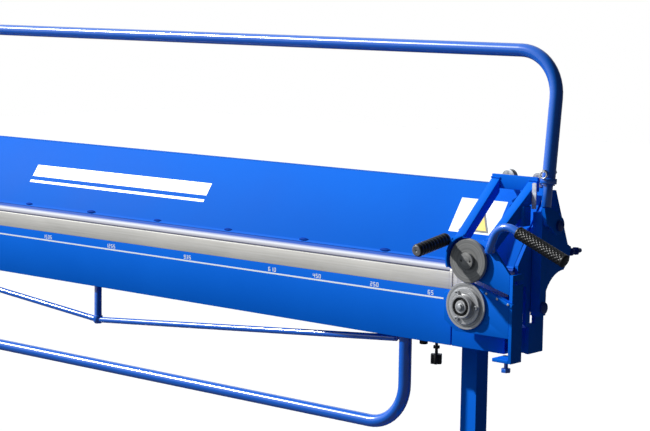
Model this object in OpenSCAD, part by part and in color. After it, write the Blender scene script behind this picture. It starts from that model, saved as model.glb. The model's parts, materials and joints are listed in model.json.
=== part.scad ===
// Long manual sheet-metal folder on a stand, with a roller-cutter trolley.
// X runs along the machine, Y from front to rear and Z up. The origin is on the
// floor, in the middle of the four anchor holes and under the apron's front face.

/* [Machine] */
// Half of the upper beam's length
beam_half = 1512; // [1480:2:1540]
// Height of the folding line above the floor
fold_z = 908; // [880:2:940]
// Width of the swinging apron's face, from its lower edge to the folding line
apron_h = 188; // [180:1:200]
// Height of the steel bending bar
bar_h = 44; // [36:1:50]
// Half of the swinging apron's length
apron_half = 1342; // [1300:1:1342]

/* [Bails] */
// Outer diameter of the bail tubes
bail_d = 33.7; // [30:0.1:36]
// Wall of the bail tubes
bail_wall = 2.6; // [2:0.1:3.2]
// Bend radius of the bail tubes
bend_r = 115; // [100:1:125]
// Half of the width of the lower bail
low_bail_half = 1176; // [1150:1:1180]
// Drop of the lower bail's cross tube below the apron
low_bail_drop = 244; // [230:1:260]
// Backward lean of the clamp bail, in degrees
bail_lean = 6.5; // [5:0.5:8]

/* [Cutter] */
// Radius of the upper cutting disc
upper_blade_r = 56; // [55.5:0.1:56]
// Radius of the lower cutting disc
lower_blade_r = 59.2; // [58.5:0.1:59.2]
// Diameter of the two grips
grip_d = 33; // [28:1:36]

/* [Stand] */
// Side of the square leg tube
leg_w = 50; // [40:1:60]
// Half of the length of a foot beam
foot_half = 320; // [300:5:360]
// Radius of an anchor hole
anchor_r = 6.5; // [5:0.5:8]

/* [Hidden] */
$fn = 48;

blue = [0.10, 0.22, 0.55];
steel = [0.72, 0.73, 0.75];
dark_steel = [0.33, 0.33, 0.35];
zinc = [0.62, 0.64, 0.66];
black = [0.06, 0.06, 0.06];

// Height of the apron's lower edge above the floor
apron_z = fold_z - apron_h;
// Free height between the two blades when they are clamped
sheet_gap = 1;
// The folding axis, which is also the edge of the clamp nose
fold_y = 10;
bar_t = 10;
nose_h = 24;
nose_lean = 14;
panel_top_y = 157;
panel_top = 215;
panel_t = 4;
panel_back = 34;

// Hinge pins of the apron
pin_r = 5;
run_fit = 0.05;
lug_r = 9;
lug_t = 8;
bar_half = apron_half - lug_t;
bracket_x = 1346;
bracket_t = 12;
park_x1 = 1508;

// Clamp mechanism
cheek_t = 10;
pivot_y = 142;
pivot_z = 127;
pivot_r = 10;
crank_len = 45;
crank_deg = 20;
crank_y = pivot_y - crank_len * cos(crank_deg);
crank_z = pivot_z + crank_len * sin(crank_deg);
link_x = 1524;
link_w = 28;
link_d = 26;
lever_x = 1556;
lever_t = 10;
leg_x = lever_x + lever_t / 2;
spigot_r = 12.5;
spigot_y = 88;
spigot_z = 178;
bail_start = 54;
bail_rise = 386;
lock_z = bail_start + 34;
lock_r = 4;
bed_travel = 31;
bed_pin_z = -78;
bed_pin_y = 100;
bed_pin_r = 10;

// Stand
leg_mid_x = 1330;
leg_y = 100;
leg_wall = 3;
foot_wall = 3;
anchor_plate = [100, 70, 8];
anchor_y = foot_half + 25;
base_y = 90;
base_d = 60;
base_h = 65;
base_z = apron_z - 10;

// Truss of the apron
truss_y = 28;
strut_len = 117;
truss_x = 1146;
scale_half = 1317;

// Trolley: X from the upper disc's axis and Z from the folding line
trolley_x = 1431;
plate_y = -46;
plate_t = 8;
upper_axis_z = 44;
lower_axis = [-8, -70.5];
axle_r = 8;
bore_r = axle_r + run_fit;
cut_y = plate_y - 6;
side_x = 120;
side_t = 10;
foot_z = -apron_h - 12;
guard_r = 61;
guard_w = 16;
slot_from = [11, -13];
slot_to = [121, -46];
arm_x = [-32, 82];
arm_foot = [-44, 48];
arm_w = 26;
cross_y = 100;
roller_r = 20;
roller_w = 16;
roller_x = [-38, 56];
rail_z = panel_top + 0.3;

// Bent handle: start above the trolley's axis, rise, bend and reach
handle_y = plate_y - 14;
handle_from = [64, 74];
handle_lean = 22.6;
handle_turn = 90;
handle_bend = 45;
handle_up = 39.7;
handle_out = 12.9;
handle_r = 10;
grip_len = 150;
grip_grab = 60;

// Side grip: it droops a little from the plate
side_from = [-71, plate_y, 92];
side_to = [-71, plate_y - 125, 73];
side_core_r = 8;

// ---------------------------------------------------------------- shared shapes

// Copies the children to both ends of the machine
module both_ends() {
    children();
    mirror([1, 0, 0]) children();
}

// Moves the children up to the folding line
module at_fold() {
    translate([0, 0, fold_z]) children();
}

// Moves the children to the parked trolley
module at_trolley() {
    translate([trolley_x, 0, fold_z]) children();
}

// A bar along X from x0 to x1 with the cross-section outline given in Y and Z
module along_x(x0, x1) {
    translate([x0, 0, 0])
        rotate([90, 0, 90])
            linear_extrude(x1 - x0) children();
}

// A plate in the XZ plane that runs from y0 back by t
module along_y(y0, t) {
    translate([0, y0 + t, 0])
        rotate([90, 0, 0])
            linear_extrude(t) children();
}

// A round bar along X
module bar_x(r, x0, x1, y, z) {
    translate([x0, y, z])
        rotate([0, 90, 0]) cylinder(h = x1 - x0, r = r);
}

// A round bar along Y
module bar_y(r, y0, y1, x, z) {
    translate([x, y0, z])
        rotate([-90, 0, 0]) cylinder(h = y1 - y0, r = r);
}

// A round bar from point p to point q
module rod(p, q, r) {
    d = q - p;
    translate(p)
        rotate([0, acos(d[2] / norm(d)), atan2(d[1], d[0])])
            cylinder(h = norm(d), r = r);
}

// The unit normal on the right-hand side of the line p to q
function right_normal(p, q) = [q[1] - p[1], p[0] - q[0]] / norm(q - p);

// The corner q moved in by t from the two edges that meet there
function corner_in(p, q, r, t) =
    let (n = right_normal(p, q), m = right_normal(q, r)) q + (n + m) * t / (1 + n * m);

// A clockwise outline moved in by t
function inset(pts, t) =
    let (n = len(pts)) [for (i = [0:n - 1]) corner_in(pts[(i + n - 1) % n], pts[i], pts[(i + 1) % n], t)];

// The wall of a folded-sheet section with a clockwise outline
module sheet_wall(pts, t) {
    difference() {
        polygon(pts);
        polygon(inset(pts, t));
    }
}

// A hexagon head or nut along Y
module hex_y(af, y0, h, x, z) {
    translate([x, y0, z])
        rotate([-90, 0, 0]) cylinder(h = h, r = af / sqrt(3), $fn = 6);
}

// A U of round rod with its legs down: half width w, leg length h to the top axis
module bail_shape(w, h, bend, r) {
    both_ends() {
        translate([w, 0, 0]) cylinder(h = h - bend, r = r);
        translate([w - bend, 0, h - bend])
            rotate([90, 0, 0])
                rotate_extrude(angle = 90) translate([bend, 0]) circle(r);
        bar_x(r, 0, w - bend, 0, h);
    }
}

// A hollow bail
module bail(w, h, bend) {
    difference() {
        bail_shape(w, h, bend, bail_d / 2);
        bail_shape(w, h, bend, bail_d / 2 - bail_wall);
    }
}

// ---------------------------------------------------------------- stand

module legs() {
    top = base_z;
    color(blue)
        both_ends()
            translate([leg_mid_x - leg_w / 2, leg_y, leg_w])
                difference() {
                    cube([leg_w, leg_w, top - leg_w]);
                    translate([leg_wall, leg_wall, -1])
                        cube([leg_w - 2 * leg_wall, leg_w - 2 * leg_wall, top]);
                }
}

module foot() {
    difference() {
        translate([-leg_w / 2, -foot_half, 0]) cube([leg_w, 2 * foot_half, leg_w]);
        translate([-leg_w / 2 + foot_wall, -foot_half - 1, foot_wall])
            cube([leg_w - 2 * foot_wall, 2 * foot_half + 2, leg_w - 2 * foot_wall]);
    }
    for (s = [-1, 1])
        difference() {
            translate([-anchor_plate[0] / 2, s > 0 ? foot_half : -foot_half - anchor_plate[1], 0])
                cube(anchor_plate);
            translate([0, s * anchor_y, -1]) cylinder(h = anchor_plate[2] + 2, r = anchor_r);
        }
}

module feet() {
    color(blue) both_ends() translate([leg_mid_x, 0, 0]) foot();
}

module stretcher() {
    half = leg_mid_x - leg_w / 2;
    color(blue)
        difference() {
            translate([-half, leg_y, 95]) cube([2 * half, leg_w, leg_w]);
            translate([-half - 1, leg_y + leg_wall, 95 + leg_wall])
                cube([2 * half + 2, leg_w - 2 * leg_wall, leg_w - 2 * leg_wall]);
        }
}

// One flat brace on each side of a leg, down to the foot beam
module braces() {
    t = 30;
    color(blue)
        both_ends()
            along_x(leg_mid_x - 15, leg_mid_x + 15) {
                polygon([[leg_y, 300], [leg_y, 300 + t * 1.4], [leg_y - 280, leg_w],
                         [leg_y - 240, leg_w]]);
                polygon([[leg_y + leg_w, 260], [leg_y + leg_w, 260 + t * 1.4],
                         [leg_y + leg_w + 160, leg_w], [leg_y + leg_w + 130, leg_w]]);
            }
}

module base_beam() {
    color(blue)
        difference() {
            translate([-beam_half, base_y, base_z]) cube([2 * beam_half, base_d, base_h]);
            translate([-beam_half - 1, base_y + 4, base_z + 4])
                cube([2 * beam_half + 2, base_d - 8, base_h - 8]);
        }
}

// ---------------------------------------------------------------- upper beam

// C-shaped end plate: Y and Z outline, with an arc cut in its rear edge
module cheek_outline() {
    low = -apron_h - 10;
    difference() {
        polygon([[86, low], [150, low], [150, -90], [262, 30], [268, 58], [252, 66],
                 [191, nose_h + 186], [160, nose_h + 186], [30, nose_h + 8], [30, -20],
                 [70, -24], [70, -120], [86, -130]]);
        translate([236, -86]) circle(88);
    }
}

module cheeks() {
    slot_w = 2 * bed_pin_r + 2;
    color(blue)
        at_fold()
            both_ends()
                difference() {
                    along_x(beam_half, beam_half + cheek_t) cheek_outline();
                    translate([beam_half - 1, bed_pin_y - slot_w / 2, bed_pin_z - bed_travel - 12])
                        cube([cheek_t + 2, slot_w, bed_travel + 24]);
                    bar_x(pivot_r, beam_half - 1, beam_half + cheek_t + 1, pivot_y, pivot_z);
                }
}

// Closed beam of folded sheet: sloped front, top flange, back and floor
module upper_panel() {
    outline = [
        [fold_y + nose_lean, nose_h],
        [panel_top_y, panel_top],
        [panel_top_y + panel_back, panel_top],
        [panel_top_y + panel_back, panel_top - 80],
        [86, nose_h]
    ];
    color(blue) at_fold() along_x(-beam_half, beam_half) sheet_wall(outline, panel_t);
}

module clamp_nose() {
    notch = lug_r + 1;
    color(steel)
        at_fold()
            difference() {
                along_x(-beam_half, beam_half)
                    polygon([[fold_y, sheet_gap], [fold_y + nose_lean, nose_h], [80, nose_h],
                             [80, sheet_gap]]);
                both_ends()
                    bar_x(notch, bar_half - 2, bracket_x + bracket_t + 2, fold_y, sheet_gap / 2);
            }
}

module bail_pivot_pins() {
    color(zinc)
        at_fold()
            both_ends() {
                bar_x(pivot_r, beam_half, lever_x + lever_t + 2, pivot_y, pivot_z);
                bar_x(pivot_r + 4, lever_x + lever_t + 0.5, lever_x + lever_t + 6, pivot_y, pivot_z);
                bar_x(pivot_r + 6, beam_half + cheek_t, beam_half + cheek_t + 6, pivot_y, pivot_z);
            }
}

// Screwed rod end with two nuts on the rear corner of each cheek
module tie_bolts() {
    x = beam_half + cheek_t / 2;
    color(zinc)
        at_fold()
            both_ends() {
                bar_y(6, 267, 318, x, 44);
                hex_y(19, 268, 10, x, 44);
                hex_y(19, 292, 10, x, 44);
            }
}

module label_plate() {
    u = [panel_top_y - fold_y - nose_lean, panel_top - nose_h];
    rise = atan2(u[1], u[0]);
    color("white")
        at_fold()
            translate([1346, fold_y + nose_lean, nose_h])
                rotate([rise, 0, 0])
                    translate([-72, 84, 0]) cube([144, 100, 0.4]);
}

// ---------------------------------------------------------------- fixed apron ends

// Folded face plate: web, lower flange and short upper flange
module apron_section() {
    top = -bar_h;
    t = 4;
    translate([0, -apron_h]) square([t, apron_h + top]);
    translate([0, -apron_h]) square([45, t]);
    translate([41, -apron_h]) square([t, 20]);
    translate([0, top - t]) square([13, t]);
}

module bar_section() {
    polygon([[0, -bar_h], [bar_t, -bar_h], [bar_t, 0], [1, 0], [0, -1]]);
}

module park_plates() {
    color(blue)
        at_fold()
            both_ends() {
                along_x(bracket_x, park_x1) apron_section();
                translate([1425, 45, -apron_h + 4]) cube([24, 45, 16]);
                translate([1425, 4, -apron_h + 4]) cube([24, 41, 16]);
            }
}

module park_bars() {
    color(steel) at_fold() both_ends() along_x(bracket_x + bracket_t, park_x1) bar_section();
}

// Hinge knuckle of thickness t at x: a bar end with a ring round the folding axis
module knuckle(x, t, r) {
    difference() {
        union() {
            bar_x(lug_r, x, x + t, fold_y, sheet_gap / 2);
            translate([x, 0, -bar_h]) cube([t, 13, bar_h]);
        }
        bar_x(r, x - 1, x + t + 1, fold_y, sheet_gap / 2);
    }
}

// Bearing knuckles that hold the apron's hinge pins
module hinge_brackets() {
    color(steel) at_fold() both_ends() knuckle(bracket_x, bracket_t, pin_r + run_fit);
}

// ---------------------------------------------------------------- bed

module bed_beam() {
    color(blue)
        at_fold() {
            difference() {
                translate([-1500, 15, -82]) cube([3000, 50, 70]);
                translate([-1501, 19, -78]) cube([3002, 42, 62]);
            }
            both_ends() translate([1500, 15, -95]) cube([8, 100, 83]);
        }
}

module bed_blade() {
    color(steel)
        at_fold()
            along_x(-1334, 1334)
                polygon([[fold_y + 0.5, 0], [88, 0], [88, -12], [15, -12], [fold_y + 0.5, -8]]);
}

module lift_links() {
    color(blue)
        at_fold()
            both_ends()
                difference() {
                    translate([link_x, bed_pin_y - link_d / 2, bed_pin_z - 20])
                        cube([link_w, link_d, crank_z - bed_pin_z + 40]);
                    bar_x(bed_pin_r, link_x - 1, link_x + link_w + 1, bed_pin_y, bed_pin_z);
                    translate([link_x - 1, crank_y - 10, crank_z - 7])
                        cube([link_w + 2, 20, 14]);
                }
}

module link_pins() {
    color(zinc)
        at_fold()
            both_ends() {
                bar_x(bed_pin_r, 1508, link_x + link_w + 4, bed_pin_y, bed_pin_z);
                bar_x(bed_pin_r + 5, link_x + link_w, link_x + link_w + 6, bed_pin_y, bed_pin_z);
            }
}

// ---------------------------------------------------------------- apron

module apron_plate() {
    color(blue) at_fold() along_x(-apron_half, apron_half) apron_section();
}

module bending_bar() {
    color(steel) at_fold() along_x(-bar_half, bar_half) bar_section();
}

module apron_lugs() {
    color(steel) at_fold() both_ends() knuckle(bar_half, lug_t, pin_r);
}

module hinge_pins() {
    x1 = bracket_x + bracket_t - 1;
    color(zinc) at_fold() both_ends() bar_x(pin_r, bar_half, x1, fold_y, sheet_gap / 2);
}

module lower_bail() {
    color(blue)
        translate([0, truss_y, apron_z])
            rotate([0, 180, 0]) bail(low_bail_half, low_bail_drop, bend_r);
}

// Short plugs that carry the lower bail under the apron
module bail_sockets() {
    color(blue)
        both_ends()
            translate([low_bail_half, truss_y, apron_z - 40])
                cylinder(h = 40, r = bail_d / 2 - bail_wall - 0.05);
}

module truss_strut() {
    color(blue)
        translate([0, truss_y, apron_z - strut_len]) {
            cylinder(h = strut_len, r = 11);
            translate([0, 0, 4]) cylinder(h = 20, r = 14);
        }
}

module truss_rods() {
    foot_end = [13, truss_y, apron_z - strut_len + 12];
    top_end = [truss_x, truss_y, apron_z - 10];
    color(blue)
        both_ends() {
            rod(foot_end, top_end, 8.75);
            translate([truss_x - 6, truss_y - 6, apron_z - 14]) cube([12, 12, 14]);
        }
}

module scale_strip() {
    color("white")
        translate([-scale_half, -0.4, apron_z + 117]) cube([2 * scale_half, 0.4, 2.5]);
}

module rubber_buffers() {
    color(black)
        both_ends()
            translate([1228, 38, apron_z - 16]) cylinder(h = 16, r = 11);
}

// Star knob on a threaded bolt with a lock nut, under the apron's lower edge
module stop_screw() {
    color(black)
        translate([1270, 38, apron_z]) {
            translate([0, 0, -22]) cylinder(h = 7, r = 16 / sqrt(3), $fn = 6);
            translate([0, 0, -62]) {
                cylinder(h = 25, r = 11.5);
                for (a = [0:60:300]) rotate(a) translate([10.5, 0, 0]) cylinder(h = 25, r = 5);
            }
            translate([0, 0, -37]) cylinder(h = 36.5, r = 4);
        }
}

module stop_screw_right() {
    stop_screw();
}

module stop_screw_left() {
    mirror([1, 0, 0]) stop_screw();
}

// ---------------------------------------------------------------- clamp bail

// Places the children on the leaning plane of the clamp bail, from its spigots up
module on_bail() {
    translate([0, spigot_y, fold_z + spigot_z]) rotate([-bail_lean, 0, 0]) children();
}

module lock_pin_holes() {
    both_ends() bar_y(lock_r, -bail_d, bail_d, leg_x, lock_z);
}

module clamp_bail_tube() {
    color(blue)
        on_bail()
            difference() {
                translate([0, 0, bail_start]) bail(leg_x, bail_rise - bail_start, bend_r);
                lock_pin_holes();
            }
}

module bail_spigots() {
    color(zinc)
        on_bail()
            difference() {
                both_ends() translate([leg_x, 0, 0]) cylinder(h = lock_z + 20, r = spigot_r);
                lock_pin_holes();
            }
}

module bail_collars() {
    color(blue)
        on_bail()
            both_ends()
                translate([leg_x, 0, bail_start + 4])
                    difference() {
                        cylinder(h = 14, r = bail_d / 2 + 4);
                        translate([0, 0, -1]) cylinder(h = 16, r = bail_d / 2);
                    }
}

// Pin through each leg, with a pull ring in front
module lock_pins() {
    ring_r = 9;
    color(zinc)
        on_bail()
            both_ends() {
                bar_y(lock_r, -27, 26, leg_x, lock_z);
                hex_y(13, 18, 6, leg_x, lock_z);
                translate([leg_x, -24, lock_z - ring_r])
                    rotate([90, 0, 0]) rotate_extrude() translate([ring_r, 0]) circle(2);
            }
}

// Plate that joins a spigot, its pivot and the crank pin
module crank_levers() {
    color(blue)
        at_fold()
            both_ends()
                difference() {
                    union() {
                        bar_x(24, lever_x, lever_x + lever_t, pivot_y, pivot_z);
                        bar_x(14, lever_x, lever_x + lever_t, crank_y, crank_z);
                        along_x(lever_x, lever_x + lever_t)
                            polygon([[pivot_y + 5, pivot_z + 23], [spigot_y + 16, spigot_z - 0.5],
                                     [spigot_y - 13, spigot_z - 3], [crank_y - 14, crank_z],
                                     [pivot_y - 10, pivot_z - 21]]);
                    }
                    bar_x(pivot_r + run_fit, lever_x - 1, lever_x + lever_t + 1, pivot_y, pivot_z);
                }
}

module crank_pins() {
    color(zinc)
        at_fold() both_ends() bar_x(6, link_x - 1, lever_x, crank_y, crank_z);
}

// ---------------------------------------------------------------- trolley

module upper_plate() {
    color(blue)
        at_trolley()
            difference() {
                along_y(plate_y, plate_t)
                    polygon([[-77, 23], [-77, 34], [-57, 100], [55, 96], [120, 20], [120, -30],
                             [16, -2], [-30, 8]]);
                bar_y(axle_r, plate_y - 1, plate_y + plate_t + 1, 0, upper_axis_z);
            }
}

module lower_plate() {
    color(blue)
        at_trolley()
            difference() {
                along_y(plate_y, plate_t)
                    polygon([[-78, -46], [-37, -21], [-10, -9], [10, -12], [120, -45],
                             [120, -138], [-40, -138], [-78, -112]]);
                bar_y(axle_r, plate_y - 1, plate_y + plate_t + 1, lower_axis[0], lower_axis[1]);
            }
}

// End plate that joins the two cutter plates, with a slot where the sheet passes
module side_plate() {
    color(blue)
        at_trolley()
            difference() {
                translate([side_x, plate_y, foot_z]) cube([side_t, 45, 20 - foot_z]);
                translate([side_x - 1, plate_y + 9, -5]) cube([side_t + 2, 40, 10]);
            }
}

// Angle foot that runs under the apron's lower edge
module foot_guide() {
    color(blue)
        at_trolley() translate([side_x - 47, plate_y, foot_z]) cube([47, 55, 9]);
}

module foot_bolt() {
    color(zinc)
        at_trolley()
            translate([side_x - 18, plate_y + 20, foot_z]) {
                translate([0, 0, -16]) cylinder(h = 16, r = 5);
                translate([0, 0, -26]) cylinder(h = 10, r = 12.5, $fn = 6);
            }
}

// Places the children on the sloped slot, with X down the slope
module on_slot() {
    translate([slot_from[0], plate_y, slot_from[1]])
        rotate([0, atan2(slot_from[1] - slot_to[1], slot_to[0] - slot_from[0]), 0]) children();
}

// Sloped strip that leads the cut edge down and away
module guide_strip() {
    color(blue) at_trolley() on_slot() translate([40, -8, -9]) cube([90, 8, 9]);
}

module strip_screws() {
    color(steel)
        at_trolley() on_slot() for (i = [0:2]) bar_y(3, -10, -8, 50 + 34 * i, -4.5);
}

// Curved lip around the upper left side of the upper disc
module disc_guard() {
    color(blue)
        at_trolley()
            translate([0, plate_y, upper_axis_z])
                rotate([90, 0, 0])
                    rotate([0, 0, 100])
                        rotate_extrude(angle = 100)
                            translate([guard_r, 0]) square([5, guard_w]);
}

module upper_axle() {
    color(zinc)
        at_trolley() {
            bar_y(axle_r, cut_y - 10, plate_y + plate_t, 0, upper_axis_z);
            bar_y(12, plate_y + plate_t, plate_y + plate_t + 6, 0, upper_axis_z);
            bar_y(14, cut_y + 0.3, plate_y, 0, upper_axis_z);
        }
}

module lower_axle() {
    x = lower_axis[0];
    z = lower_axis[1];
    color(zinc)
        at_trolley() {
            bar_y(axle_r, cut_y - 23, plate_y + plate_t, x, z);
            bar_y(12, plate_y + plate_t, plate_y + plate_t + 6, x, z);
            bar_y(10.5, cut_y - 22.5, cut_y - 20.8, x, z);
            hex_y(14, cut_y - 28, 5.5, x, z);
        }
}

// Two bars that rise and spread from the upper plate to the cross plate, with a guide block
module carriage_arms() {
    y0 = plate_y + plate_t;
    color(blue)
        at_trolley() {
            translate([arm_foot[1] + 12, 50, 128]) cube([30, 32, 50]);
            for (i = [0, 1])
                multmatrix([[1, (arm_x[i] - arm_foot[i]) / (cross_y - y0), 0, arm_foot[i]],
                            [0, 1, 0, y0], [0, 0, 1, 0], [0, 0, 0, 1]])
                    along_x(-arm_w / 2, arm_w / 2)
                        polygon([[0, 60], [0, 96], [cross_y - y0, 238], [cross_y - y0, 202]]);
        }
}

module cross_plate() {
    x0 = arm_x[0] - arm_w / 2;
    color(blue)
        at_trolley()
            translate([x0, cross_y, 212]) cube([arm_x[1] + arm_w / 2 - x0, 8, 36]);
}

module roller_axles() {
    y1 = panel_top_y + 5 + roller_w;
    color(zinc)
        at_trolley()
            for (x = roller_x) {
                bar_y(6, cross_y + 8, y1 + 2, x, rail_z + roller_r);
                bar_y(9, y1 + 0.5, y1 + 5, x, rail_z + roller_r);
            }
}

module roller(x) {
    y0 = panel_top_y + 5;
    color(dark_steel)
        at_trolley()
            difference() {
                bar_y(roller_r, y0, y0 + roller_w, x, rail_z + roller_r);
                bar_y(6 + run_fit, y0 - 1, y0 + roller_w + 1, x, rail_z + roller_r);
            }
}

module roller_inner() {
    roller(roller_x[0]);
}

module roller_outer() {
    roller(roller_x[1]);
}

// Ribbed grip that stands out to the front
module side_grip() {
    ribs = 9;
    step = (side_to - side_from) / (2 * ribs + 1);
    color(black)
        at_trolley()
            difference() {
                union() {
                    rod(side_from + step, side_to, grip_d / 2 - 1.5);
                    for (i = [1:ribs])
                        rod(side_from + step * (2 * i - 0.5), side_from + step * (2 * i + 0.5), grip_d / 2);
                }
                rod(side_from, side_to + step, side_core_r);
            }
}

// Steel bar through the side grip, with the end disc that holds the grip on
module side_grip_bar() {
    along = (side_to - side_from) / norm(side_to - side_from);
    color(zinc)
        at_trolley()
            difference() {
                union() {
                    rod(side_from - along * 6, side_to, side_core_r);
                    rod(side_to, side_to + along * 2.5, grip_d / 2 - 3);
                }
                translate([side_from[0] - 20, plate_y, side_from[2] - 20]) cube(40);
            }
}

// A round rod that rises along Z, bends over towards X and runs on
module bent_rod(rise, bend, turn, reach, r) {
    cylinder(h = rise, r = r);
    translate([bend, 0, rise]) {
        rotate([90, 0, 0])
            rotate([0, 0, 180 - turn])
                rotate_extrude(angle = turn) translate([bend, 0]) circle(r);
        rotate([0, turn, 0]) translate([-bend, 0, 0]) cylinder(h = reach, r = r);
    }
}

module at_handle() {
    translate([handle_from[0], handle_y, handle_from[1]]) rotate([0, handle_lean, 0]) children();
}

module handle_tube() {
    reach = handle_out + grip_grab;
    color(blue)
        at_trolley() {
            at_handle() bent_rod(handle_up, handle_bend, handle_turn, reach, handle_r);
            translate([handle_from[0] - 10, handle_y, handle_from[1] - 4]) cube([20, 14, 18]);
        }
}

module knurled_grip() {
    color(black)
        at_trolley()
            at_handle()
                translate([handle_bend, 0, handle_up])
                    rotate([0, handle_turn, 0])
                        translate([-handle_bend, 0, handle_out])
                            difference() {
                                cylinder(h = grip_len, r = grip_d / 2);
                                translate([0, 0, -1]) cylinder(h = grip_grab + 1, r = handle_r);
                            }
}

// ---------------------------------------------------------------- cutting discs

module upper_blade() {
    color(dark_steel)
        at_trolley()
            difference() {
                bar_y(upper_blade_r, cut_y - 6, cut_y, 0, upper_axis_z);
                bar_y(bore_r, cut_y - 7, cut_y + 1, 0, upper_axis_z);
            }
}

module upper_hub() {
    color(dark_steel)
        at_trolley()
            difference() {
                bar_y(21, cut_y - 14, cut_y - 6, 0, upper_axis_z);
                bar_y(bore_r, cut_y - 11, cut_y - 5, 0, upper_axis_z);
                for (s = [-1, 1]) bar_y(2.5, cut_y - 15, cut_y - 10, s * 13, upper_axis_z);
            }
}

module lower_blade() {
    x = lower_axis[0];
    z = lower_axis[1];
    color(steel)
        at_trolley()
            difference() {
                bar_y(lower_blade_r, cut_y + 0.3, cut_y + 4.3, x, z);
                bar_y(bore_r, cut_y, cut_y + 5, x, z);
            }
}

module lower_flange() {
    x = lower_axis[0];
    z = lower_axis[1];
    color(steel)
        at_trolley()
            difference() {
                union() {
                    bar_y(46, cut_y - 5.7, cut_y + 0.3, x, z);
                    bar_y(29, cut_y - 20, cut_y - 5.7, x, z);
                }
                bar_y(bore_r, cut_y - 21, cut_y + 1, x, z);
                difference() {
                    bar_y(24, cut_y - 21, cut_y - 16, x, z);
                    bar_y(16, cut_y - 22, cut_y - 15, x, z);
                }
                for (a = [0, 120, 240])
                    bar_y(4, cut_y - 7, cut_y - 2, x + 38 * cos(a), z + 38 * sin(a));
            }
}

module flange_screws() {
    x = lower_axis[0];
    z = lower_axis[1];
    color(dark_steel)
        at_trolley()
            for (a = [0, 120, 240])
                bar_y(4, cut_y - 7.2, cut_y - 2, x + 38 * cos(a), z + 38 * sin(a));
}

legs();
feet();
stretcher();
braces();
base_beam();
cheeks();
upper_panel();
clamp_nose();
park_plates();
park_bars();
hinge_brackets();
bail_pivot_pins();
tie_bolts();
label_plate();
bed_beam();
bed_blade();
lift_links();
link_pins();
apron_plate();
bending_bar();
apron_lugs();
hinge_pins();
lower_bail();
bail_sockets();
truss_strut();
truss_rods();
scale_strip();
rubber_buffers();
clamp_bail_tube();
bail_spigots();
bail_collars();
lock_pins();
crank_levers();
crank_pins();
upper_plate();
lower_plate();
side_plate();
foot_guide();
foot_bolt();
guide_strip();
strip_screws();
disc_guard();
upper_axle();
lower_axle();
carriage_arms();
cross_plate();
roller_axles();
side_grip();
side_grip_bar();
handle_tube();
knurled_grip();
upper_blade();
upper_hub();
lower_blade();
lower_flange();
flange_screws();
roller_inner();
roller_outer();
stop_screw_left();
stop_screw_right();
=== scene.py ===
import json
from math import cos, pi, radians, sin, sqrt

import bmesh
import bpy
from mathutils import Matrix, Vector

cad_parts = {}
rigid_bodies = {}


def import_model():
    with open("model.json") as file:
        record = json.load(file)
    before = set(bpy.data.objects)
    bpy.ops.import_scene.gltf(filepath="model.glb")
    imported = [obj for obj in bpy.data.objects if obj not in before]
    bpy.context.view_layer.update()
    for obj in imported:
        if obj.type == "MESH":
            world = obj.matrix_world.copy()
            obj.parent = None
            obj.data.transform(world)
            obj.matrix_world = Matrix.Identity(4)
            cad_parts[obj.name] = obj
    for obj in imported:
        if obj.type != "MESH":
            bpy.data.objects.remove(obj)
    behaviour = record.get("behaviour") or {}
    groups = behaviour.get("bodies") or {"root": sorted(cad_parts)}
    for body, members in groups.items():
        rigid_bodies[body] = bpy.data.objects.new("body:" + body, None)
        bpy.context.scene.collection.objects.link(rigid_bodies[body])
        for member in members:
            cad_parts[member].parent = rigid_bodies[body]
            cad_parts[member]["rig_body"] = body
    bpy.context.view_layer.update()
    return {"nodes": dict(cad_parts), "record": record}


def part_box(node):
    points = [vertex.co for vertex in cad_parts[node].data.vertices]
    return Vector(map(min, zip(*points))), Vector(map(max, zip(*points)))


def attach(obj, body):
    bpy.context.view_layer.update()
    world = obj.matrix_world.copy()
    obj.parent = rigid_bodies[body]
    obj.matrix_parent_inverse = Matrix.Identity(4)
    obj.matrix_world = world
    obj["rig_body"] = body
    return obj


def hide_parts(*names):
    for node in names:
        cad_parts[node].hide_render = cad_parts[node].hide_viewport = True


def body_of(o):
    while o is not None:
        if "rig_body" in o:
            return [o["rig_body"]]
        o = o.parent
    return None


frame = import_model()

scene = bpy.context.scene


# places, read off the frame

def low(node):
    return Vector(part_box(node)[0])


def high(node):
    return Vector(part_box(node)[1])


def middle(node):
    return (low(node) + high(node)) / 2


def jointPoint(name):
    joints = frame["record"]["behaviour"]["joints"]
    return Vector(next(joint["pos_m"] for joint in joints if joint["name"] == name))


foldHeight = high("bending_bar").z
upperAxis = jointPoint("upper_blade_spin")
lowerAxis = jointPoint("lower_blade_spin")
print("frame loaded, folding line at", round(foldHeight, 3), "m")


# camera, floor and light

camera = {
    "place": (4.141, -3.784, 1.609),
    "turn": 40.43,      # degrees round from the front
    "lookDown": 6.82,
    "roll": 0.90,
    "lens": 103.96,
    "sensor": 36,
    "farthest": 60,
}

sight = bpy.data.cameras.new("frontCamera")
sight.lens = camera["lens"]
sight.sensor_width = camera["sensor"]
sight.clip_end = camera["farthest"]
viewer = bpy.data.objects.new("frontCamera", sight)
scene.collection.objects.link(viewer)
aim = Matrix.Rotation(radians(camera["turn"]), 4, "Z")
aim = aim @ Matrix.Rotation(radians(90 - camera["lookDown"]), 4, "X")
aim = aim @ Matrix.Rotation(radians(camera["roll"]), 4, "Z")
viewer.matrix_world = Matrix.Translation(camera["place"]) @ aim
scene.camera = viewer

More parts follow.
